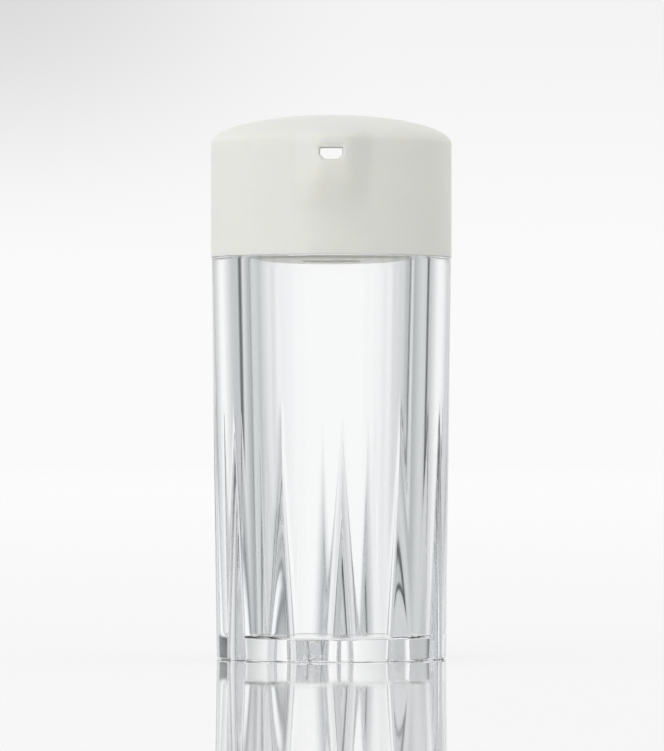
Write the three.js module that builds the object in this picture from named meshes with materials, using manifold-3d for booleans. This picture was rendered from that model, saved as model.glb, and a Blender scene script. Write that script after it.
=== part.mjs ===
// Oil bottle: a thick clear fluted vessel with an off-white pouring cap.
// Millimetres, +Z up. The origin is the centre of the flat base, and the beak points along -Y.
import * as THREE from "three";
import { mergeVertices } from "three/addons/utils/BufferGeometryUtils.js";
import Module from "manifold-3d";

const wasm = await Module();
wasm.setup();

// Overall
const capDiameter = 70;
const wallSegments = 72; // round the cap
const innerSegments = 48; // round the hidden closure pieces
const arcSteps = 8;
const seatGap = 0.3; // left between pieces that bear on each other

// Vessel
const bodyHeight = 116.6; // base to shoulder
const shoulderStep = 0.15; // the shoulder stays this far inside the cap's wall
const bodyTaper = 1.45; // loss of radius from shoulder to base
const floorThickness = 6;
const cavityTaper = 2.5; // loss of radius from shoulder to floor
const cavityFillet = 2;
const baseRound = 1;
const neckHeight = 14.4;
const neckWall = 4.2;
const mouthChamfer = 0.6;

// Flutes
const fluteCount = 12;
const fluteColumns = 8; // wall columns for each flute and its land
const fluteRows = 9; // wall rows from the base to the flutes' points
const fluteTurn = THREE.MathUtils.degToRad(5.3); // first valley, turned from the front
const fluteHeight = 86; // base to the point of each flute
const flutePower = 1.8; // how late the flute narrows on its way up
const fluteHalfWidth = 5.6; // valley to land at the base
const fluteSlope = Math.tan(THREE.MathUtils.degToRad(48)); // steepness of the flank
const fluteShoulder = 2.7; // half width of the rounded shoulder

// Pouring insert
const neckClearance = 0.4; // collar to neck
const collarWall = 2.4;
const collarHeight = 11.6; // flange top to the collar's lower edge
const flangeThickness = 2.4;
const plugClearance = 0.6; // plug to neck bore
const plugWall = 3.4;
const insertFloor = 2;
const insertDrop = 0.3; // edge of the insert's underside below the shoulder
const floorBulge = 1.6; // middle of the insert's underside below its edge
const pourHoleWidth = 16;
const pourHoleDepth = 7;
const airHoleDiameter = 5;
const holeMargin = 2.5; // from a hole to the plug's inner wall

// Silicone rings and gasket
const ringHeight = 2.2;
const ringInset = 1.4; // groove depth in the plug
const ringSpacing = 5; // between the two grooves' middles
const upperRingDrop = 3.4; // upper groove's middle below the flange
const gasketThickness = 1.2;
const gasketWidth = 2.8;

// Cap
const threadGap = 1; // between collar and cap wall, filled by the thread
const capWall = 2.6;
const ledgeHeight = 2.4;
const ledgeWidth = 3;
const chamberHeight = 11.8; // ledge to the dome's lower edge
const domeRise = 8.3;
const rimRound = 0.4;

// Beak, pouring slot and air vent
const beakReach = 5.5;
const beakHalfWidth = 13;
const beakCrest = 2.5; // half width of the beak's full reach
const beakDrop = 25; // dome edge to the end of the beak's underside
const beakFull = 5.5; // dome edge to the lower end of the beak's full reach
const beakRoof = 6; // height over which the beak runs out into the dome
const slotWidth = 8.5;
const slotHeight = 4.2;
const slotDrop = 1.9; // slot's upper edge below the dome's edge
const slotCorner = 1.5; // chamfer of the slot's lower corners
const slotSideTaper = 0.9; // loss of width at each side through the wall
const slotTopTaper = 1.4; // loss of height at the top through the wall
const ventWidth = 10;
const ventHeight = 3.6;
const ventDrop = 3.1; // vent's lower edge below the dome's edge

// Radii, from the cap's outside inwards
const capRadius = capDiameter / 2;
const capInner = capRadius - capWall;
const collarOuter = capInner - threadGap;
const collarInner = collarOuter - collarWall;
const neckRadius = collarInner - neckClearance;
const boreRadius = neckRadius - neckWall;
const plugOuter = boreRadius - plugClearance;
const plugInner = plugOuter - plugWall;
const bodyRadiusTop = capRadius - shoulderStep;
const bodyRadiusBase = bodyRadiusTop - bodyTaper;
const floorRadius = boreRadius - cavityTaper;

// Heights, from the base upwards
const neckTop = bodyHeight + neckHeight;
const flangeBottom = neckTop + seatGap;
const flangeTop = flangeBottom + flangeThickness;
const collarBottom = flangeTop - collarHeight;
const insertBottom = bodyHeight - insertDrop;
const gasketBottom = flangeTop + seatGap;
const ledgeBottom = gasketBottom + gasketThickness + seatGap;
const ledgeTop = ledgeBottom + ledgeHeight;
const capRim = bodyHeight + seatGap;
const domeEdge = ledgeTop + chamberHeight;
const upperRingMiddle = flangeBottom - upperRingDrop;
const ringMiddles = [upperRingMiddle - ringSpacing, upperRingMiddle];

const clearGlass = new THREE.MeshStandardMaterial({ color: 0xeef3f3, roughness: 0.03, metalness: 0 });
clearGlass.transparent = true;
clearGlass.opacity = 0.35;
const capPlastic = new THREE.MeshStandardMaterial({ color: 0xe3e3dc, roughness: 0.45, metalness: 0 });
const silicone = new THREE.MeshStandardMaterial({ color: 0xd9d9d2, roughness: 0.6, metalness: 0 });

const bottle = new THREE.Group();

// Helpers

function vec(x, y) {
  return new THREE.Vector2(x, y);
}

function arc(centreX, centreY, radiusX, radiusY, from, to, steps = arcSteps) {
  const curve = new THREE.EllipseCurve(centreX, centreY, radiusX, radiusY, from, to, to < from);
  return curve.getPoints(steps);
}

// A solid from a closed geometry, with shared vertices merged and flat triangles left out.
function solidOf(geometry) {
  const bare = geometry.clone();
  bare.deleteAttribute("normal");
  bare.deleteAttribute("uv");
  const merged = mergeVertices(bare);
  const corners = merged.index.array;
  const kept = [];
  for (let i = 0; i < corners.length; i += 3) {
    const [a, b, c] = corners.slice(i, i + 3);
    if (a !== b && b !== c && c !== a) {
      kept.push(a, b, c);
    }
  }
  const vertProperties = Float32Array.from(merged.attributes.position.array);
  return new wasm.Manifold(new wasm.Mesh({ numProp: 3, vertProperties, triVerts: Uint32Array.from(kept) }));
}

// Revolves a profile of radius and height round +Z; its seam faces -Y.
function revolve(profile, segments) {
  return new THREE.LatheGeometry(profile, segments).rotateX(Math.PI / 2);
}

function extrude(outline, depth) {
  return new THREE.ExtrudeGeometry(outline, { depth, bevelEnabled: false });
}

function addPiece(name, solid, material) {
  const result = solid.getMesh();
  const geometry = new THREE.BufferGeometry();
  geometry.setAttribute("position", new THREE.BufferAttribute(Float32Array.from(result.vertProperties), 3));
  geometry.setIndex(new THREE.BufferAttribute(Uint32Array.from(result.triVerts), 1));
  geometry.computeVertexNormals();
  const mesh = new THREE.Mesh(geometry, material);
  mesh.name = name;
  bottle.add(mesh);
}

// Points along a straight wall, ends included, so that it can be bent afterwards.
function wallPoints(from, to, steps) {
  const points = [];
  for (let i = 0; i <= steps; i += 1) {
    points.push(from.clone().lerp(to, i / steps));
  }
  return points;
}

// Vessel: a revolved thick wall with a drawn-in cavity and a plain neck, and flutes that deepen towards the base.

function wallRadius(height) {
  return bodyRadiusBase + (bodyTaper * height) / bodyHeight;
}

// Depth of a flute at a distance round the wall from its valley: a steep flank eased in by a rounded shoulder.
function fluteCut(away, height) {
  const width = fluteHalfWidth * (1 - THREE.MathUtils.clamp(height / fluteHeight, 0, 1) ** flutePower);
  if (away >= width) {
    return 0;
  }
  if (away <= width - 2 * fluteShoulder) {
    return fluteSlope * (width - fluteShoulder - away);
  }
  return (fluteSlope * (width - away) ** 2) / (4 * fluteShoulder);
}

function vesselBlank() {
  const edge = wallRadius(baseRound);
  const profile = [
    vec(0, 0),
    ...arc(edge - baseRound, baseRound, baseRound, baseRound, -Math.PI / 2, 0, arcSteps / 2),
    ...wallPoints(vec(edge, baseRound), vec(wallRadius(fluteHeight), fluteHeight), fluteRows).slice(1),
    vec(bodyRadiusTop, bodyHeight),
    vec(neckRadius, bodyHeight),
    vec(neckRadius, neckTop - mouthChamfer),
    vec(neckRadius - mouthChamfer, neckTop),
    vec(boreRadius + mouthChamfer, neckTop),
    vec(boreRadius, neckTop - mouthChamfer),
    vec(boreRadius, bodyHeight),
    ...arc(floorRadius - cavityFillet, floorThickness + cavityFillet, cavityFillet, cavityFillet, 0, -Math.PI / 2),
    vec(0, floorThickness),
  ];
  return revolve(profile, fluteCount * fluteColumns);
}

function makeVessel() {
  const blank = vesselBlank();
  const place = blank.attributes.position;
  const pitch = (2 * Math.PI) / fluteCount;
  const wallMiddle = (bodyRadiusBase + floorRadius) / 2;
  for (let i = 0; i < place.count; i += 1) {
    const x = place.getX(i);
    const y = place.getY(i);
    const height = place.getZ(i);
    const radius = Math.hypot(x, y);
    if (radius > wallMiddle && height < fluteHeight) {
      const turns = Math.atan2(x, -y) / pitch;
      const away = Math.abs(turns - Math.round(turns)) * pitch * wallRadius(height);
      const share = 1 - fluteCut(away, height) / radius;
      place.setXY(i, x * share, y * share);
    }
  }
  addPiece("vessel", solidOf(blank.rotateZ(fluteTurn)), clearGlass);
}

// Pouring insert: a cup with a plug inside the neck, a flange over its rim and a collar outside it.

function insertBlank() {
  const grooveFloor = plugOuter - ringInset;
  const grooveHalf = ringHeight / 2 + seatGap;
  const grooves = ringMiddles.flatMap((middle) => [
    vec(plugOuter, middle - grooveHalf),
    vec(grooveFloor, middle - grooveHalf),
    vec(grooveFloor, middle + grooveHalf),
    vec(plugOuter, middle + grooveHalf),
  ]);
  const profile = [
    ...arc(0, insertBottom, plugOuter - mouthChamfer, floorBulge, -Math.PI / 2, 0, arcSteps / 2),
    vec(plugOuter, insertBottom + mouthChamfer),
    ...grooves,
    vec(plugOuter, flangeBottom),
    vec(collarInner, flangeBottom),
    vec(collarInner, collarBottom),
    vec(collarOuter, collarBottom),
    vec(collarOuter, flangeTop),
    vec(plugInner, flangeTop),
    vec(plugInner, insertBottom + insertFloor),
    vec(0, insertBottom + insertFloor),
  ];
  return solidOf(revolve(profile, innerSegments));
}

// A slot with round ends, centred on the origin.
function stadium(width, height) {
  const radius = height / 2;
  const half = width / 2 - radius;
  const right = arc(half, 0, radius, radius, -Math.PI / 2, Math.PI / 2);
  const left = arc(-half, 0, radius, radius, Math.PI / 2, (3 * Math.PI) / 2);
  return new THREE.Shape([...right, ...left]);
}

function makeInsert() {
  const depth = insertFloor * 3;
  const startsAt = insertBottom - insertFloor;
  const pourHole = extrude(stadium(pourHoleWidth, pourHoleDepth), depth);
  const cornerReach = (pourHoleWidth - pourHoleDepth) / 2;
  const pourReach = Math.sqrt((plugInner - holeMargin - pourHoleDepth / 2) ** 2 - cornerReach ** 2);
  pourHole.translate(0, -pourReach, startsAt);
  const airHole = extrude(stadium(airHoleDiameter, airHoleDiameter), depth);
  airHole.translate(0, plugInner - holeMargin - airHoleDiameter / 2, startsAt);
  const insert = insertBlank().subtract(solidOf(pourHole)).subtract(solidOf(airHole));
  addPiece("pour_insert", insert, capPlastic);
}

// Silicone: two rings with a rounded outer bead in the plug's grooves, and a flat gasket under the cap's ledge.

function makeRings() {
  const inner = plugOuter - ringInset + seatGap;
  const bead = boreRadius - seatGap;
  const half = ringHeight / 2;
  const names = ["lower_seal_ring", "upper_seal_ring"];
  ringMiddles.forEach((middle, i) => {
    const round = arc(bead - half / 2, middle, half / 2, half, -Math.PI / 2, Math.PI / 2, arcSteps / 2);
    const profile = [vec(inner, middle - half), ...round, vec(inner, middle + half), vec(inner, middle - half)];
    addPiece(names[i], solidOf(revolve(profile, innerSegments)), silicone);
  });
}

function makeGasket() {
  const outer = capInner - seatGap;
  const inner = outer - gasketWidth;
  const top = gasketBottom + gasketThickness;
  const profile = [
    vec(inner, gasketBottom),
    vec(outer, gasketBottom),
    vec(outer, top),
    vec(inner, top),
    vec(inner, gasketBottom),
  ];
  addPiece("cap_gasket", solidOf(revolve(profile, innerSegments)), silicone);
}

// Cap: a revolved dome and skirt, pushed out into the beak at the front, with a slot and a rear vent.

// How far the outer wall is pushed out at a sideways offset from the front and a height.
function beakPush(side, height) {
  const across = 1 - THREE.MathUtils.smootherstep(Math.abs(side), beakCrest, beakHalfWidth);
  const below = THREE.MathUtils.smootherstep(height, domeEdge - beakDrop, domeEdge - beakFull);
  const above = 1 - THREE.MathUtils.smootherstep(height, domeEdge, domeEdge + beakRoof);
  return beakReach * across * below * above;
}

function capBlank() {
  const ledgeRadius = capInner - ledgeWidth;
  const chamberBase = ledgeTop + ledgeWidth / 2;
  const profile = [
    ...arc(0, domeEdge, capInner, domeRise - capWall, Math.PI / 2, 0),
    ...wallPoints(vec(capInner, domeEdge), vec(capInner, chamberBase), arcSteps / 2).slice(1),
    vec(ledgeRadius, ledgeTop),
    vec(ledgeRadius, ledgeBottom),
    vec(capInner, ledgeBottom),
    vec(capInner, capRim),
    vec(capRadius - rimRound, capRim),
    vec(capRadius, capRim + rimRound),
    ...wallPoints(vec(capRadius, domeEdge - beakDrop), vec(capRadius, domeEdge), arcSteps),
    ...arc(0, domeEdge, capRadius, domeRise, 0, Math.PI / 2, arcSteps + 2).slice(1),
  ];
  const geometry = revolve(profile, wallSegments);
  const place = geometry.attributes.position;
  for (let i = 0; i < place.count; i += 1) {
    const outside = i % profile.length >= profile.length / 2;
    const x = place.getX(i);
    const y = place.getY(i);
    const z = place.getZ(i);
    const inset = outside ? 1 : THREE.MathUtils.smootherstep(z, chamberBase, domeEdge - beakFull);
    if (y < 0) {
      place.setY(i, y - beakPush(x, z) * inset);
    }
  }
  return solidOf(geometry);
}

// The pouring slot narrows through the wall: a straight top, chamfered lower corners, a sloping ceiling.
function slotCutter() {
  const half = slotWidth / 2;
  const outline = new THREE.Shape([
    vec(-half, slotHeight),
    vec(-half, slotCorner),
    vec(slotCorner - half, 0),
    vec(half - slotCorner, 0),
    vec(half, slotCorner),
    vec(half, slotHeight),
  ]);
  const depth = 3 * capWall;
  const cutter = extrude(outline, depth);
  const place = cutter.attributes.position;
  for (let i = 0; i < place.count; i += 1) {
    const into = 2 - (3 * place.getZ(i)) / depth;
    const x = place.getX(i);
    const y = place.getY(i);
    place.setX(i, x - Math.sign(x) * slotSideTaper * into);
    if (y === slotHeight) {
      place.setY(i, y - slotTopTaper * into);
    }
  }
  cutter.rotateX(Math.PI / 2);
  const tip = capRadius + beakReach;
  return cutter.translate(0, depth - tip - capWall, domeEdge - slotDrop - slotHeight);
}

function ventCutter() {
  const cutter = extrude(stadium(ventWidth, ventHeight), capWall + domeRise).rotateX(Math.PI / 2);
  return cutter.translate(0, capRadius + capWall / 2, domeEdge - ventDrop + ventHeight / 2);
}

function makeCap() {
  const cap = capBlank().subtract(solidOf(slotCutter())).subtract(solidOf(ventCutter()));
  addPiece("cap_shell", cap, capPlastic);
}

makeVessel();
makeInsert();
makeRings();
makeGasket();
makeCap();

export default bottle;
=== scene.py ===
# Oil bottle: fluted clear vessel, seals, pouring insert and off-white cap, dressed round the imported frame.
import math

import bpy
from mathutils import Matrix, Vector


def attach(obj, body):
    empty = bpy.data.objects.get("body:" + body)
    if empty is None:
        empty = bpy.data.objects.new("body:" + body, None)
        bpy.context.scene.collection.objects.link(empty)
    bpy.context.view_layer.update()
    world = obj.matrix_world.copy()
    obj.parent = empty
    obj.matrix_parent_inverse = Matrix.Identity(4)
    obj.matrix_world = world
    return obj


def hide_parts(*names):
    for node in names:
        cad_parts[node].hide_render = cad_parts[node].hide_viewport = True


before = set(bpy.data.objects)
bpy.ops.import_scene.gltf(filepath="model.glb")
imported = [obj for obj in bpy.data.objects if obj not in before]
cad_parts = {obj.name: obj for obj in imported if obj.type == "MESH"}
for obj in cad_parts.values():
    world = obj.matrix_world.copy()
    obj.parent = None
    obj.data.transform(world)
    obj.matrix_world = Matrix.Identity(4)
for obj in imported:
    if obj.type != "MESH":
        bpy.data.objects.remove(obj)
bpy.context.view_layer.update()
mm = 0.001
print("frame loaded:", sorted(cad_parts))


# Small tools for outlines and meshes; outlines are in millimetres

def smoother(value, low, high):
    t = min(1, max(0, (value - low) / (high - low)))
    return t * t * t * (t * (6 * t - 15) + 10)


def spread(low, high, count):
    return [low + (high - low) * i / count for i in range(count + 1)]


def softCorners(corners, steps=5, closed=False):
    # each corner is radius, height and the rounding of that corner
    points = []
    count = len(corners)
    for i, (radius, height, rounding) in enumerate(corners):
        here = Vector((radius, height))
        if rounding == 0 or (not closed and i in (0, count - 1)):
            points.append((radius, height))
            continue
        back = Vector(corners[i - 1][:2]) - here
        ahead = Vector(corners[(i + 1) % count][:2]) - here
        half = back.angle(ahead) / 2
        reach = min(rounding / math.tan(half), 0.49 * back.length, 0.49 * ahead.length)
        start = here + back.normalized() * reach
        end = here + ahead.normalized() * reach
        guard = min(0.15 * reach, 0.4 * (back.length - reach), 0.4 * (ahead.length - reach))
        line = [start + back.normalized() * guard]  # guard points keep the shading of long flanks straight
        for j in range(steps + 1):
            t = j / steps
            line.append(start.lerp(here, t).lerp(here.lerp(end, t), t))
        line.append(end + ahead.normalized() * guard)
        points += [(p.x, p.y) for p in line]
    return points


def turned(profile, columns, closed=False):
    # revolves an outline of radius and height; a radius of 0 is a single point on the axis
    verts, rows = [], []
    for radius, height in profile:
        if radius < 1e-9:
            rows.append([len(verts)] * columns)
            verts.append((0, 0, height * mm))
            continue
        rows.append(list(range(len(verts), len(verts) + columns)))
        for i in range(columns):
            angle = 2 * math.pi * i / columns
            verts.append((radius * math.sin(angle) * mm, -radius * math.cos(angle) * mm, height * mm))
    return verts, joinRows(rows, closed)


def joinRows(rows, closed=False):
    faces = []
    columns = len(rows[0])
    pairs = list(zip(rows, rows[1:]))
    if closed:
        pairs.append((rows[-1], rows[0]))
    for low, high in pairs:
        for i in range(columns):
            j = (i + 1) % columns
            corners = [low[i], low[j], high[j], high[i]]
            face = [v for k, v in enumerate(corners) if v != corners[k - 1]]
            if len(face) > 2:
                faces.append(face)
    return faces


def meshOf(name, verts, faces):
    mesh = bpy.data.meshes.new(name)
    mesh.from_pydata(verts, [], faces)
    mesh.validate()
    thing = bpy.data.objects.new(name, mesh)
    bpy.context.scene.collection.objects.link(thing)
    return thing


def cutAway(thing, cutters):
    for cutter in cutters:
        cut = thing.modifiers.new("cut", "BOOLEAN")
        cut.operation = "DIFFERENCE"
        cut.solver = "EXACT"
        cut.object = cutter
    view = bpy.context.evaluated_depsgraph_get()
    fresh = bpy.data.meshes.new_from_object(thing.evaluated_get(view))
    thing.modifiers.clear()
    thing.data = fresh
    for cutter in cutters:
        bpy.data.objects.remove(cutter)


def dress(thing, material, body, nodes=(), edgeAngle=30):
    thing.data.materials.clear()
    thing.data.materials.append(material)
    thing.data.shade_smooth()
    thing.data.set_sharp_from_angle(angle=math.radians(edgeAngle))
    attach(thing, body)
    if nodes:
        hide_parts(*nodes)
    print("piece", thing.name, "on", body, len(thing.data.polygons), "faces")


# Shader tools

def addNode(tree, kind, links=None, **values):
    # values are set on the node; links gives a value or another output for a socket name or number
    made = tree.nodes.new(kind)
    for name, value in values.items():
        setattr(made, name, value)
    for name, value in (links or {}).items():
        if isinstance(value, bpy.types.NodeSocket):
            tree.links.new(value, made.inputs[name])
        else:
            made.inputs[name].default_value = value
    return made


def maths(tree, operation, first, second=0.0):
    return addNode(tree, "ShaderNodeMath", {0: first, 1: second}, operation=operation).outputs[0]


def eased(tree, value, start, end, low=0.0, high=1.0):
    # goes smoothly from low to high while the value goes from start to end
    step = addNode(tree, "ShaderNodeMapRange", {
        "Value": value, "From Min": start, "From Max": end, "To Min": low, "To Max": high},
        interpolation_type="SMOOTHSTEP")
    return step.outputs[0]


def mixColours(tree, share, low, high):
    # on the Mix node sockets 6 and 7 take the colours and output 2 gives the result
    return addNode(tree, "ShaderNodeMix", {0: share, 6: low, 7: high}, data_type="RGBA").outputs[2]


def newMaterial(name):
    material = bpy.data.materials.new(name)
    material.use_nodes = True
    material.node_tree.nodes.clear()
    return material


# One group for every moulded surface: slow mottling of the colour, grain in the height, drift of the gloss

surfaceInputs = {
    "Colour": ("NodeSocketColor", (0.8, 0.8, 0.8, 1)), "Mottle": ("NodeSocketColor", (0.7, 0.7, 0.7, 1)),
    "Mottle Scale": ("NodeSocketFloat", 40), "Grain Scale": ("NodeSocketFloat", 2500),
    "Roughness": ("NodeSocketFloat", 0.4), "Roughness Drift": ("NodeSocketFloat", 0.1),
}
surfaceOutputs = {"Colour": "NodeSocketColor", "Roughness": "NodeSocketFloat", "Height": "NodeSocketFloat"}


def mouldedSurface():
    group = bpy.data.node_groups.new("mouldedSurface", "ShaderNodeTree")
    for name, (kind, value) in surfaceInputs.items():
        group.interface.new_socket(name, in_out="INPUT", socket_type=kind).default_value = value
    for name, kind in surfaceOutputs.items():
        group.interface.new_socket(name, in_out="OUTPUT", socket_type=kind)
    given = addNode(group, "NodeGroupInput").outputs
    place = addNode(group, "ShaderNodeTexCoord").outputs["Object"]
    slow = addNode(group, "ShaderNodeTexNoise", {
        "Vector": place, "Scale": given["Mottle Scale"], "Detail": 3.0}).outputs["Fac"]
    fine = addNode(group, "ShaderNodeTexNoise", {
        "Vector": place, "Scale": given["Grain Scale"], "Detail": 2.0}).outputs["Fac"]
    colour = mixColours(group, slow, given["Colour"], given["Mottle"])
    centred = maths(group, "SUBTRACT", slow, 0.5)
    gloss = addNode(group, "ShaderNodeMath", {
        0: centred, 1: given["Roughness Drift"], 2: given["Roughness"]}, operation="MULTIPLY_ADD").outputs[0]
    addNode(group, "NodeGroupOutput", {"Colour": colour, "Roughness": gloss, "Height": fine})
    return group


surfaceGroup = mouldedSurface()


def mouldedMaterial(name, look, shader):
    # look feeds the group and the bump; shader holds constants set on the Principled BSDF itself
    material = newMaterial(name)
    tree = material.node_tree
    skin = addNode(tree, "ShaderNodeGroup", {socket: look[socket] for socket in surfaceInputs},
                   node_tree=surfaceGroup).outputs
    bump = addNode(tree, "ShaderNodeBump", {
        "Height": skin["Height"], "Strength": look["bumpStrength"], "Distance": look["bumpDepth"]})
    body = addNode(tree, "ShaderNodeBsdfPrincipled", {
        "Base Color": skin["Colour"], "Roughness": skin["Roughness"], "Normal": bump.outputs[0], **shader})
    addNode(tree, "ShaderNodeOutputMaterial", {"Surface": body.outputs[0]})
    return material


glassLook = {
    "Colour": (0.998, 0.999, 1.0, 1), "Mottle": (0.994, 0.997, 0.999, 1), "Mottle Scale": 25.0,
    "Grain Scale": 60.0, "Roughness": 0.045, "Roughness Drift": 0.02,
    "bumpStrength": 0.03, "bumpDepth": 0.0004,
}
plasticLook = {
    "Colour": (0.80, 0.805, 0.755, 1), "Mottle": (0.775, 0.78, 0.73, 1), "Mottle Scale": 55.0,
    "Grain Scale": 2600.0, "Roughness": 0.42, "Roughness Drift": 0.08,
    "bumpStrength": 0.12, "bumpDepth": 0.00012,
}
insertShadeTintLook = {  # glossier than the cap; its paler, warmer colour is a painted tint for the olive shade on the insert's underside under the closure
    "Colour": (0.87, 0.86, 0.75, 1), "Mottle": (0.85, 0.84, 0.73, 1), "Mottle Scale": 55.0,
    "Grain Scale": 2600.0, "Roughness": 0.26, "Roughness Drift": 0.08,
    "bumpStrength": 0.08, "bumpDepth": 0.00012,
}
siliconeLook = {
    "Colour": (0.74, 0.74, 0.70, 1), "Mottle": (0.70, 0.70, 0.66, 1), "Mottle Scale": 90.0,
    "Grain Scale": 3800.0, "Roughness": 0.55, "Roughness Drift": 0.12,
    "bumpStrength": 0.18, "bumpDepth": 0.0001,
}
softBody = {  # light soaks a little way into both off-white mouldings
    "IOR": 1.47, "Subsurface Weight": 0.5, "Subsurface Scale": 0.004, "Subsurface Radius": (1.0, 0.95, 0.5),
}

clearGlass = mouldedMaterial("clearGlass", glassLook, {"Transmission Weight": 1.0, "IOR": 1.5})
capPlastic = mouldedMaterial("capPlastic", plasticLook, {**softBody, "Specular IOR Level": 0.4})
# the insert's paler, warmer colour is painted shade: it stands in for the olive tint of the shade under the
# closure
insertPlastic = mouldedMaterial("insertPlastic", insertShadeTintLook, softBody)
softSilicone = mouldedMaterial("softSilicone", siliconeLook, {"IOR": 1.42, "Specular IOR Level": 0.4})
print("materials ready")


# Vessel: a thick wall with tapering V flutes whose shoulders are softly rounded

vessel = {
    "bodyHeight": 116.6, "radiusTop": 34.85, "radiusBase": 33.4, "baseRound": 0.9, "baseMiddle": 20.0,
    "neckRadius": 28.6, "neckTop": 131.0, "neckFillet": 0.5, "mouthRound": 0.6, "shoulderRound": 0.35,
    "boreRadius": 24.4, "floorRadius": 21.9, "floorMiddle": 12.0, "floorHeight": 6.0, "floorFillet": 2.0,
    "fluteCount": 12, "fluteTurn": 5.3, "fluteTop": 82.0, "flutePower": 1.1,
    "fluteHalfWidth": 5.0, "fluteSlope": 52.0, "shoulderReach": 2.5,
    "plainRise": 4.0, "plainTop": 102.0,  # two rings that keep the wall above the flutes straight
    "halfColumns": 14, "crowding": 1.3, "fluteRows": 84, "baseRows": 5,
    "boreRows": 12, "boreReach": 0.94, "filletSteps": 10,
}


def wallRadius(height):
    share = height / vessel["bodyHeight"]
    return vessel["radiusBase"] + (vessel["radiusTop"] - vessel["radiusBase"]) * share


def fluteCut(offset, height):
    # depth at an angle from the groove's valley: a straight flank, eased into the wall by a round shoulder
    if height >= vessel["fluteTop"]:
        return 0
    width = vessel["fluteHalfWidth"] * (1 - (height / vessel["fluteTop"]) ** vessel["flutePower"])
    slope = math.tan(math.radians(vessel["fluteSlope"]))
    away = math.radians(abs(offset)) * wallRadius(height)
    reach = vessel["shoulderReach"]
    if away >= width:
        return 0
    if away <= width - 2 * reach:
        return slope * (width - reach - away)
    return slope * (width - away) ** 2 / (4 * reach)


def buildVessel():
    half = vessel["halfColumns"]
    halfPitch = 180 / vessel["fluteCount"]
    side = [halfPitch * (j / half) ** vessel["crowding"] for j in range(half + 1)]  # closest at the valley
    offsets = [-a for a in reversed(side[1:-1])] + side
    angles = []
    for k in range(vessel["fluteCount"]):
        for offset in offsets:
            angles.append((math.radians(vessel["fluteTurn"] + 2 * halfPitch * k + offset), offset))
    columns = len(angles)
    verts, rows = [], []

    def addRow(radiusAt, height):
        rows.append(list(range(len(verts), len(verts) + columns)))
        for angle, offset in angles:
            r = radiusAt(offset)
            verts.append((r * math.sin(angle) * mm, -r * math.cos(angle) * mm, height * mm))

    def addPole(height):
        rows.append([len(verts)] * columns)
        verts.append((0, 0, height * mm))

    addPole(0)
    addRow(lambda offset: vessel["baseMiddle"], 0)
    edge = vessel["baseRound"]
    for turn in spread(0, math.pi / 2, vessel["baseRows"]):
        height = edge * (1 - math.cos(turn))
        inset = edge * (1 - math.sin(turn))
        addRow(lambda offset: wallRadius(height) - fluteCut(offset, height) - inset, height)
    for height in spread(edge, vessel["fluteTop"], vessel["fluteRows"])[1:]:
        addRow(lambda offset: wallRadius(height) - fluteCut(offset, height), height)
    plain = vessel["fluteTop"] + vessel["plainRise"]
    rest = softCorners([
        (wallRadius(plain), plain, 0),
        (wallRadius(vessel["plainTop"]), vessel["plainTop"], 0),
        (vessel["radiusTop"], vessel["bodyHeight"], vessel["shoulderRound"]),
        (vessel["neckRadius"], vessel["bodyHeight"], vessel["neckFillet"]),
        (vessel["neckRadius"], vessel["neckTop"], vessel["mouthRound"]),
        (vessel["boreRadius"], vessel["neckTop"], vessel["mouthRound"]),
        (vessel["boreRadius"], vessel["bodyHeight"], 0),
    ])
    inside = [(vessel["boreRadius"], vessel["bodyHeight"], 0)]
    drop = vessel["floorHeight"] - vessel["bodyHeight"]
    taper = vessel["floorRadius"] - vessel["boreRadius"]
    for share in spread(0, 1, vessel["boreRows"])[1:-1]:
        height = vessel["bodyHeight"] + drop * share * vessel["boreReach"]
        radius = vessel["boreRadius"] + taper * share * vessel["boreReach"]
        inside.append((radius, height, 0))
    inside.append((vessel["floorRadius"], vessel["floorHeight"], vessel["floorFillet"]))
    inside.append((vessel["floorMiddle"], vessel["floorHeight"], 0))
    for radius, height in rest + softCorners(inside, vessel["filletSteps"])[1:]:
        addRow(lambda offset: radius, height)
    addPole(vessel["floorHeight"])
    return meshOf("vesselGlass", verts, joinRows(rows))


dress(buildVessel(), clearGlass, "bottle", ["vessel"], 16)


# Cap: dome and skirt with the beak pushed out at the front, a pouring slot and a rear vent

cap = {
    "radius": 35.0, "innerRadius": 32.4, "wall": 2.6, "rim": 116.66, "rimRound": 0.2, "rimBand": 4.0,
    "ledgeBottom": 135.5, "ledgeTop": 137.9, "ledgeRadius": 29.4, "ledgeRound": 0.3, "ledgeSlope": 1.5,
    "innerRimRound": 0.4, "domeEdge": 149.7, "domeRise": 8.3,
    "beakReach": 5.5, "beakCrest": 2.5, "beakHalfWidth": 13.0,
    "beakDrop": 25.0, "beakFull": 5.5, "beakRoof": 6.0,
    "slotWidth": 6.6, "slotHeight": 3.3, "slotBase": 6.1, "slotCorner": 1.4, "slotEdge": 0.75,
    "slotLip": 1.8, "slotFlare": 0.5, "slotBevel": 0.4, "slotTopRound": 0.5, "slotRound": 0.6,
    "slotSideTaper": 0.15, "slotTopTaper": 0.15, "topTaperEnd": 1.2,
    "throat": (0.5, 1.0, 2.2), "slotClear": 2.0,  # shares of the wall, and how far the cutter starts outside
    "ventWidth": 10.0, "ventHeight": 3.6, "ventDrop": 3.1, "ventOuter": 42.0, "ventInner": 26.0,
    "columns": 288, "wallRows": 56, "domeRows": 40, "innerDomeRows": 24, "chamberRows": 16,
}
chamberBase = cap["ledgeTop"] + cap["ledgeSlope"]
holeSteps = 48  # points round the vent and the insert's holes


def beakPush(side, height):
    across = 1 - smoother(abs(side), cap["beakCrest"], cap["beakHalfWidth"])
    below = smoother(height, cap["domeEdge"] - cap["beakDrop"], cap["domeEdge"] - cap["beakFull"])
    above = 1 - smoother(height, cap["domeEdge"], cap["domeEdge"] + cap["beakRoof"])
    return cap["beakReach"] * across * below * above


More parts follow.
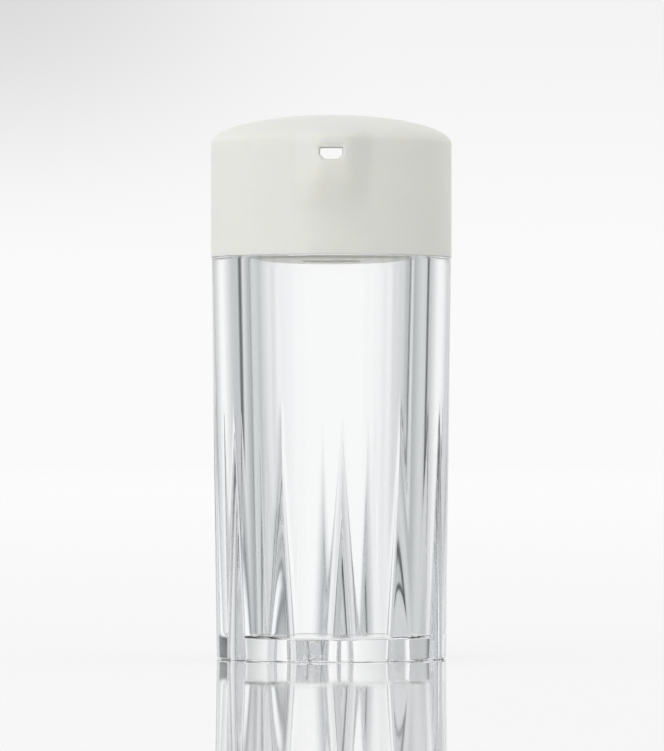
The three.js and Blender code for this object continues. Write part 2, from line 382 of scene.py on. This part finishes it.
def capOutline():
    # outer wall and dome, from the rim to the top
    skirtTop = cap["rim"] + cap["rimBand"]
    skirt = softCorners([
        (cap["innerRadius"], cap["rim"], 0),
        (cap["radius"], cap["rim"], cap["rimRound"]),
        (cap["radius"], skirtTop, 0)])[1:-1]
    wall = [(cap["radius"], z) for z in spread(skirtTop, cap["domeEdge"], cap["wallRows"])]
    dome = []
    for turn in spread(0, math.pi / 2, cap["domeRows"])[1:]:
        dome.append((cap["radius"] * math.cos(turn), cap["domeEdge"] + cap["domeRise"] * math.sin(turn)))
    return skirt + wall + dome


def capInside():
    # inner dome, chamber, ledge and threaded skirt, from the top down to the rim
    rise = cap["domeRise"] - cap["wall"]
    dome = []
    for turn in spread(math.pi / 2, 0, cap["innerDomeRows"]):
        dome.append((cap["innerRadius"] * math.cos(turn), cap["domeEdge"] + rise * math.sin(turn)))
    chamber = [(cap["innerRadius"], z) for z in spread(cap["domeEdge"], chamberBase, cap["chamberRows"])[1:]]
    ledge = softCorners([
        (cap["innerRadius"], chamberBase, 0),
        (cap["ledgeRadius"], cap["ledgeTop"], cap["ledgeRound"]),
        (cap["ledgeRadius"], cap["ledgeBottom"], cap["ledgeRound"]),
        (cap["innerRadius"], cap["ledgeBottom"], cap["ledgeRound"]),
        (cap["innerRadius"], cap["rim"], cap["innerRimRound"]),
        (cap["radius"], cap["rim"], 0)], 3)[1:-1]
    return dome + chamber + ledge


def buildCap():
    inside = capInside()
    profile = inside + capOutline()
    columns = cap["columns"]
    verts, rows = [], []
    for index, (radius, height) in enumerate(profile):
        if radius < 1e-6:
            rows.append([len(verts)] * columns)
            verts.append((0, 0, height * mm))
            continue
        share = 1
        if index < len(inside):
            share = smoother(height, chamberBase, cap["domeEdge"] - cap["beakFull"])
        rows.append(list(range(len(verts), len(verts) + columns)))
        for i in range(columns):
            angle = 2 * math.pi * i / columns
            x, y = radius * math.sin(angle), -radius * math.cos(angle)
            if y < 0:
                y -= beakPush(x, height) * share
            verts.append((x * mm, y * mm, height * mm))
    shell = meshOf("capShell", verts, joinRows(rows))
    cutAway(shell, [slotCutter(), ventCutter()])
    return shell


def frontSurface(x, height):
    # how far towards -Y the cap's outside stands at a sideways offset and a height
    lift = max(0, height - cap["domeEdge"]) / cap["domeRise"]
    radius = cap["radius"] * math.sqrt(max(0.01, 1 - lift * lift))
    return math.sqrt(max(1, radius * radius - x * x)) + beakPush(x, height)


def loftCutter(name, loops):
    verts, rows = [], []
    for loop in loops:
        rows.append(list(range(len(verts), len(verts) + len(loop))))
        verts += [(x * mm, y * mm, z * mm) for x, y, z in loop]
    faces = joinRows(rows)
    faces.append(list(reversed(rows[0])))
    faces.append(rows[-1])
    return meshOf(name, verts, faces)


def stadium(half, radius):
    # outline of a hole with round ends: half its straight part and the radius of the ends
    points = []
    for i in range(holeSteps):
        a = 2 * math.pi * i / holeSteps
        points.append((math.cos(a) * radius + math.copysign(half, math.cos(a)), math.sin(a) * radius))
    return points


def slotCutter():
    # loops run inwards from outside the beak: a rounded mouth, then the throat that narrows through the wall
    half, tall, corner = cap["slotWidth"] / 2, cap["slotHeight"], cap["slotCorner"]
    base = cap["domeEdge"] - cap["slotBase"]
    edge, topRound, lowRound = cap["slotEdge"], cap["slotTopRound"], cap["slotRound"]

    def outline(grow, sideTaper, topTaper):
        w, top = half + grow - sideTaper, tall + grow * cap["slotLip"] - topTaper
        wide = w + grow * cap["slotFlare"]
        bevel = corner - grow * cap["slotBevel"]
        flat = softCorners([
            (-wide, top, topRound), (-w, bevel, lowRound), (corner - w, -grow, lowRound),
            (w - corner, -grow, lowRound), (w, bevel, lowRound), (wide, top, topRound)], 4, closed=True)
        return [(x, base + z) for x, z in flat]

    loops = [[(x, -frontSurface(x, z) - cap["slotClear"], z) for x, z in outline(edge, 0, 0)]]
    for turn in spread(0, math.pi / 2, 4):
        grow, sink = edge * (1 - math.sin(turn)), edge * (1 - math.cos(turn))
        loops.append([(x, -frontSurface(x, z) + sink, z) for x, z in outline(grow, 0, 0)])
    for share in cap["throat"]:
        taper = cap["slotSideTaper"] * share, cap["slotTopTaper"] * min(share, cap["topTaperEnd"])
        flat = outline(0, *taper)
        loops.append([(x, -frontSurface(x, z) + edge + cap["wall"] * share, z) for x, z in flat])
    return loftCutter("slotCutter", loops[::-1])


def ventCutter():
    radius = cap["ventHeight"] / 2
    flat = stadium(cap["ventWidth"] / 2 - radius, radius)
    middle = cap["domeEdge"] - cap["ventDrop"] + radius
    loops = [[(x, y, middle + z) for x, z in flat] for y in (cap["ventOuter"], cap["ventInner"])]
    return loftCutter("ventCutter", loops)


dress(buildCap(), capPlastic, "cap", ["cap_shell"], 32)


# Pouring insert: plug in the neck, flange over its rim, threaded collar outside it

insert = {
    "plugOuter": 23.8, "plugInner": 20.4, "plugEdge": 0.7, "collarInner": 29.0, "collarOuter": 31.4,
    "bottom": 116.3, "bulge": 1.6, "bulgeRows": 16, "floor": 2.0,
    "collarBottom": 122.1, "flangeBottom": 131.3, "flangeTop": 133.7,
    "grooveInset": 1.4, "grooveHalf": 1.4, "ringMiddles": (122.9, 127.9),
    "holeWidth": 16.0, "holeDepth": 7.0, "holeReach": 13.68, "holeFlare": 0.3,
    "airHole": 5.0, "airReach": 15.4,
    "columns": 160,
}


def buildInsert():
    groove = insert["plugOuter"] - insert["grooveInset"]
    bulgeRadius = insert["plugOuter"] - insert["plugEdge"]
    corners = []
    for turn in spread(0, math.pi / 2, insert["bulgeRows"]):  # the floor's underside bulges a little
        corners.append((bulgeRadius * math.sin(turn), insert["bottom"] - insert["bulge"] * math.cos(turn), 0))
    corners.append((insert["plugOuter"], insert["bottom"], 0.6))
    for middle in insert["ringMiddles"]:
        low, high = middle - insert["grooveHalf"], middle + insert["grooveHalf"]
        corners += [(insert["plugOuter"], low, 0.15), (groove, low, 0.25), (groove, high, 0.25),
                    (insert["plugOuter"], high, 0.15)]
    corners += [
        (insert["plugOuter"], insert["flangeBottom"], 0.3),
        (insert["collarInner"], insert["flangeBottom"], 0.3),
        (insert["collarInner"], insert["collarBottom"], 0.4),
        (insert["collarOuter"], insert["collarBottom"], 0.4),
        (insert["collarOuter"], insert["flangeTop"], 0.4),
        (insert["plugInner"], insert["flangeTop"], 0.5),
        (insert["plugInner"], insert["bottom"] + insert["floor"], 1.2),
        (0, insert["bottom"] + insert["floor"], 0)]
    verts, faces = turned(softCorners(corners, 4), insert["columns"])
    thing = meshOf("pourInsert", verts, faces)
    cutAway(thing, [
        roundedHole("pourHole", insert["holeWidth"], insert["holeDepth"], -insert["holeReach"]),
        roundedHole("airHole", insert["airHole"], insert["airHole"], insert["airReach"])])
    return thing


def roundedHole(name, width, depth, place):
    # a slot with round ends and softly flared faces, through the insert's floor
    radius = depth / 2
    half = width / 2 - radius
    share = 1 - (place / insert["plugOuter"]) ** 2
    low, high = insert["bottom"] - insert["bulge"] * math.sqrt(share), insert["bottom"] + insert["floor"]
    flare = insert["holeFlare"]
    levels = (
        (flare + 0.3, low - 0.8), (flare, low), (flare * 0.3, low + flare * 0.5), (0, low + flare),
        (0, high - flare), (flare * 0.3, high - flare * 0.5), (flare, high), (flare + 0.3, high + 0.3))
    loops = []
    for grow, z in levels:
        loops.append([(x, place + y, z) for x, y in stadium(half, radius + grow)])
    return loftCutter(name, loops)


dress(buildInsert(), insertPlastic, "stopper", ["pour_insert"], 34)


# Thread: a right-hand ridge outside the collar and its match inside the cap

thread = {
    "pitch": 4.0, "height": 0.72, "foot": 1.9, "crest": 0.7, "sink": 0.08, "stepsPerTurn": 72, "leadIn": 0.12,
    "collarStart": 124.2, "collarTurns": 1.9, "capStart": 118.2, "capTurns": 2.9,
}


def buildRidge(name, radius, outward, start, turns):
    steps = int(thread["stepsPerTurn"] * turns)
    verts, rows = [], []
    for i in range(steps + 1):
        share = i / steps
        angle = 2 * math.pi * turns * share
        z = start + thread["pitch"] * turns * share
        lead = min(1, share / thread["leadIn"], (1 - share) / thread["leadIn"])
        rise = thread["height"] * max(0.05, math.sin(lead * math.pi / 2))
        rows.append(list(range(len(verts), len(verts) + 4)))
        for depth, dz in ((-thread["sink"], -thread["foot"] / 2), (rise, -thread["crest"] / 2),
                          (rise, thread["crest"] / 2), (-thread["sink"], thread["foot"] / 2)):
            r = radius + depth * outward
            verts.append((r * math.sin(angle) * mm, -r * math.cos(angle) * mm, (z + dz) * mm))
    faces = []
    for low, high in zip(rows, rows[1:]):
        for i in range(4):
            j = (i + 1) % 4
            face = [low[i], high[i], high[j], low[j]]
            faces.append(face if outward > 0 else face[::-1])
    ends = [rows[0], rows[-1][::-1]]
    faces += ends if outward > 0 else [end[::-1] for end in ends]
    return meshOf(name, verts, faces)


collarRidge = buildRidge(
    "collarThread", insert["collarOuter"], 1, thread["collarStart"], thread["collarTurns"])
dress(collarRidge, insertPlastic, "stopper")
capRidge = buildRidge("capThread", cap["innerRadius"], -1, thread["capStart"], thread["capTurns"])
dress(capRidge, capPlastic, "cap")


# Silicone: two beaded rings in the plug's grooves and a flat gasket with a raised rib under the cap's ledge

seal = {
    "ringInner": 22.7, "ringHeight": 2.2, "bead": 24.1, "lip": 23.45, "columns": 160,
    "gasketInner": 29.3, "gasketOuter": 32.1, "gasketBottom": 134.0, "gasketTop": 135.2,
    "ribHalf": 0.45, "ribRise": 0.2,
}


def buildRing(name, middle):
    half = seal["ringHeight"] / 2
    corners = [
        (seal["ringInner"], middle - half, 0.25), (seal["lip"], middle - half, 0.3),
        (seal["bead"], middle, 0.5),
        (seal["lip"], middle + half, 0.3), (seal["ringInner"], middle + half, 0.25)]
    verts, faces = turned(softCorners(corners, 5, True), seal["columns"], True)
    return meshOf(name, verts, faces)


for ringName, ringNode, ringMiddle in zip(
        ("lowerSeal", "upperSeal"), ("lower_seal_ring", "upper_seal_ring"), insert["ringMiddles"]):
    dress(buildRing(ringName, ringMiddle), softSilicone, "stopper", [ringNode], 40)


def buildGasket():
    low, top, rib = seal["gasketBottom"], seal["gasketTop"], seal["ribHalf"]
    flat = low + seal["ribRise"]
    middle = (seal["gasketInner"] + seal["gasketOuter"]) / 2
    corners = [
        (seal["gasketInner"], flat, 0.2), (middle - rib * 2, flat, 0.2), (middle - rib, low, 0.2),
        (middle + rib, low, 0.2), (middle + rib * 2, flat, 0.2), (seal["gasketOuter"], flat, 0.2),
        (seal["gasketOuter"], top, 0.3), (seal["gasketInner"], top, 0.3)]
    verts, faces = turned(softCorners(corners, 4, True), seal["columns"], True)
    return meshOf("capGasket", verts, faces)


dress(buildGasket(), softSilicone, "gasket", ["cap_gasket"], 40)


# Studio: glossy pale floor, a bright surround with narrow dark strips for the glass, soft lamps for the cap

studio = {
    "floorSize": 29.0, "floorDrop": 0.00003,  # the floor is just clear of the base
    "ambientFront": 0.50, "ambientBack": 0.90, "ambientColour": (1.0, 0.995, 0.985, 1),
    "glossLevel": 0.965, "clearLevel": 0.99, "white": (1, 1, 1, 1),
    "below": (0.80, 0.80, 0.80, 1), "steepFrom": 0.24, "steepTo": 0.6,
    "backdrop": {
        "level": 0.955, "topFall": 0.06, "cornerFall": 0.20,
        "topAngles": (1.5, 4.4), "leftAngles": (0.5, -3.2), "behindAngles": (13.0, 8.0)},
    "panels": {
        "start": 64.0, "blend": 6.0, "front": 120.0, "frontBlend": 24.0, "frontShare": 0.55,
        "count": 18, "edge": 0.8, "share": 0.15,
        "gap": (0.075, 0.095, 0.115, 1), "panel": (0.96, 0.985, 1.0, 1)},
    "coolness": (1.08, 1.02),  # powers that take a little red and green out of the darker greys
    "surround": (  # angle from straight behind the bottle, and brightness
        (-70, 0.48), (-63, 0.48), (-57, 0.66), (-53, 0.74), (-50, 0.08), (-46, 0.08), (-43, 0.55),
        (-36, 0.52), (-27, 0.58), (-20, 0.72), (-11, 0.90), (-4, 1.0), (5, 1.0), (12, 0.90),
        (20, 0.72), (28, 0.55), (33, 0.50), (34, 0.03), (37, 0.03), (39, 0.60), (47, 0.66),
        (54, 0.60), (62, 0.48), (70, 0.48)),
}

floorLook = {
    "Colour": (0.78, 0.78, 0.785, 1), "Mottle": (0.76, 0.76, 0.765, 1), "Mottle Scale": 3.0,
    "Grain Scale": 900.0, "Roughness": 0.03, "Roughness Drift": 0.02,
    "bumpStrength": 0.01, "bumpDepth": 0.00005,
}


def buildFloor():
    half = studio["floorSize"] / 2
    floor = meshOf("studioFloor", [(-half, -half, 0), (half, -half, 0), (half, half, 0), (-half, half, 0)],
                   [[0, 1, 2, 3]])
    floor.location.z = -studio["floorDrop"]
    gloss = mouldedMaterial("floorGloss", floorLook, {"IOR": 1.45})
    floor.data.materials.append(gloss)
    tree = gloss.node_tree
    surface = next(n for n in tree.nodes if n.type == "BSDF_PRINCIPLED")
    end = next(n for n in tree.nodes if n.type == "OUTPUT_MATERIAL")
    leaving = addNode(tree, "ShaderNodeLightPath").outputs["Is Transmission Ray"]
    glassy = addNode(tree, "ShaderNodeBsdfTransparent").outputs[0]
    through = addNode(tree, "ShaderNodeMixShader", {0: leaving, 1: surface.outputs[0], 2: glassy})
    tree.links.new(through.outputs[0], end.inputs["Surface"])  # rays out of the glass pass on to the surround


buildFloor()


def surroundColour(tree, way):
    # strips behind the bottle, and pale panels with dark gaps at its sides
    turn = maths(tree, "ARCTAN2", way["X"], way["Y"])  # 0 is straight behind the bottle
    share = addNode(tree, "ShaderNodeMapRange", {
        "Value": turn, "From Min": -math.pi, "From Max": math.pi})
    ramp = addNode(tree, "ShaderNodeValToRGB", {"Fac": share.outputs[0]})
    stops = ramp.color_ramp.elements
    while len(stops) < len(studio["surround"]):
        stops.new(0.5)
    redPower, greenPower = studio["coolness"]
    for stop, (angle, level) in zip(stops, studio["surround"]):
        stop.position = (angle + 180) / 360
        stop.color = (level ** redPower, level ** greenPower, level, 1)
    panels = studio["panels"]
    wide = maths(tree, "ABSOLUTE", turn)
    wave = maths(tree, "SINE", maths(tree, "MULTIPLY", turn, panels["count"]))
    panel = eased(tree, wave, -panels["edge"] - panels["share"], panels["edge"] - panels["share"])
    ahead = eased(tree, wide, math.radians(panels["front"]),
                  math.radians(panels["front"] + panels["frontBlend"]))
    calm = addNode(tree, "ShaderNodeMix", {0: ahead, 2: panel, 3: panels["frontShare"]},
                   data_type="FLOAT").outputs[0]  # towards the front the panels merge into one tone
    tone = mixColours(tree, calm, panels["gap"], panels["panel"])
    aside = eased(tree, wide, math.radians(panels["start"]), math.radians(panels["start"] + panels["blend"]))
    around = mixColours(tree, aside, ramp.outputs[0], tone)
    # steeply up the surround is plain white, steeply down it is as pale as the floor
    for sign, colour in ((1, studio["white"]), (-1, studio["below"])):
        steep = eased(tree, way["Z"], sign * studio["steepFrom"], sign * studio["steepTo"])
        around = mixColours(tree, steep, around, colour)
    return around


def backdropLevel(tree, way):
    # straight behind the bottle the backdrop fades towards its top, most of all at the left
    fall = studio["backdrop"]
    lowTop, highTop = [math.sin(math.radians(angle)) for angle in fall["topAngles"]]
    nearLeft, farLeft = [math.sin(math.radians(angle)) for angle in fall["leftAngles"]]
    outside, within = [math.cos(math.radians(angle)) for angle in fall["behindAngles"]]
    high = eased(tree, way["Z"], lowTop, highTop)
    left = eased(tree, way["X"], nearLeft, farLeft, fall["topFall"], fall["topFall"] + fall["cornerFall"])
    behind = eased(tree, way["Y"], outside, within)
    loss = maths(tree, "MULTIPLY", maths(tree, "MULTIPLY", high, left), behind)
    return maths(tree, "SUBTRACT", fall["level"], loss)


def buildWorld():
    world = bpy.data.worlds.new("studio")
    bpy.context.scene.world = world
    world.use_nodes = True
    tree = world.node_tree
    tree.nodes.clear()
    ray = addNode(tree, "ShaderNodeLightPath").outputs
    way = addNode(tree, "ShaderNodeSeparateXYZ", {
        "Vector": addNode(tree, "ShaderNodeTexCoord").outputs["Generated"]}).outputs
    depth = addNode(tree, "ShaderNodeMapRange", {
        "Value": way["Y"], "From Min": -1.0, "From Max": 0.0,
        "To Min": studio["ambientFront"], "To Max": studio["ambientBack"]})
    ambient = addNode(tree, "ShaderNodeBackground", {
        "Color": studio["ambientColour"], "Strength": depth.outputs[0]})
    backdrop = addNode(tree, "ShaderNodeBackground", {
        "Color": studio["white"], "Strength": backdropLevel(tree, way)})
    # reflections see an even white all round, clear glass sees the surround
    mirrored = ray["Is Reflection Ray"]
    shine = addNode(tree, "ShaderNodeMapRange", {
        "Value": mirrored, "To Min": studio["clearLevel"], "To Max": studio["glossLevel"]})
    seen = mixColours(tree, mirrored, surroundColour(tree, way), studio["white"])
    bright = addNode(tree, "ShaderNodeBackground", {"Color": seen, "Strength": shine.outputs[0]})
    clear = maths(tree, "MAXIMUM", ray["Is Transmission Ray"], ray["Is Glossy Ray"])
    plain = addNode(tree, "ShaderNodeMixShader", {
        0: ray["Is Camera Ray"], 1: ambient.outputs[0], 2: backdrop.outputs[0]})
    whole = addNode(tree, "ShaderNodeMixShader", {0: clear, 1: plain.outputs[0], 2: bright.outputs[0]})
    addNode(tree, "ShaderNodeOutputWorld", {"Surface": whole.outputs[0]})


buildWorld()

lamps = {
    "keyLeft": {"place": (-0.75, -1.25, 0.55), "size": 0.6, "power": 6.7, "shine": True},
    "fillLeft": {"place": (-1.2, 0.2, 0.5), "size": 0.8, "power": 1.2, "shine": False},
    "fillRight": {"place": (1.2, 0.2, 0.5), "size": 0.8, "power": 1.7, "shine": False},
}


def buildLamps():
    aim = Vector((0, 0, 0.1))
    for name, look in lamps.items():
        lamp = bpy.data.lights.new(name, "AREA")
        lamp.size = look["size"]
        lamp.energy = look["power"]
        holder = bpy.data.objects.new(name, lamp)
        holder.location = look["place"]
        holder.rotation_euler = (aim - Vector(look["place"])).to_track_quat("-Z", "Y").to_euler()
        holder.visible_transmission = False
        holder.visible_glossy = look["shine"]
        bpy.context.scene.collection.objects.link(holder)


buildLamps()

eye = {"place": (0.0002, -1.87, 0.0626), "lens": 308.0, "sensor": 36.0, "tiltUp": 0.604, "farClip": 120.0}


def buildCamera():
    lens = bpy.data.cameras.new("eye")
    lens.lens = eye["lens"]
    lens.sensor_width = eye["sensor"]
    lens.clip_end = eye["farClip"]
    camera = bpy.data.objects.new("eye", lens)
    camera.location = eye["place"]
    camera.rotation_euler = (math.radians(90 + eye["tiltUp"]), 0, 0)
    bpy.context.scene.collection.objects.link(camera)
    bpy.context.scene.camera = camera


buildCamera()

scene = bpy.context.scene
scene.view_settings.view_transform = "Standard"
scene.cycles.max_bounces = 40
scene.cycles.transmission_bounces = 32
scene.cycles.glossy_bounces = 12
print("studio ready")
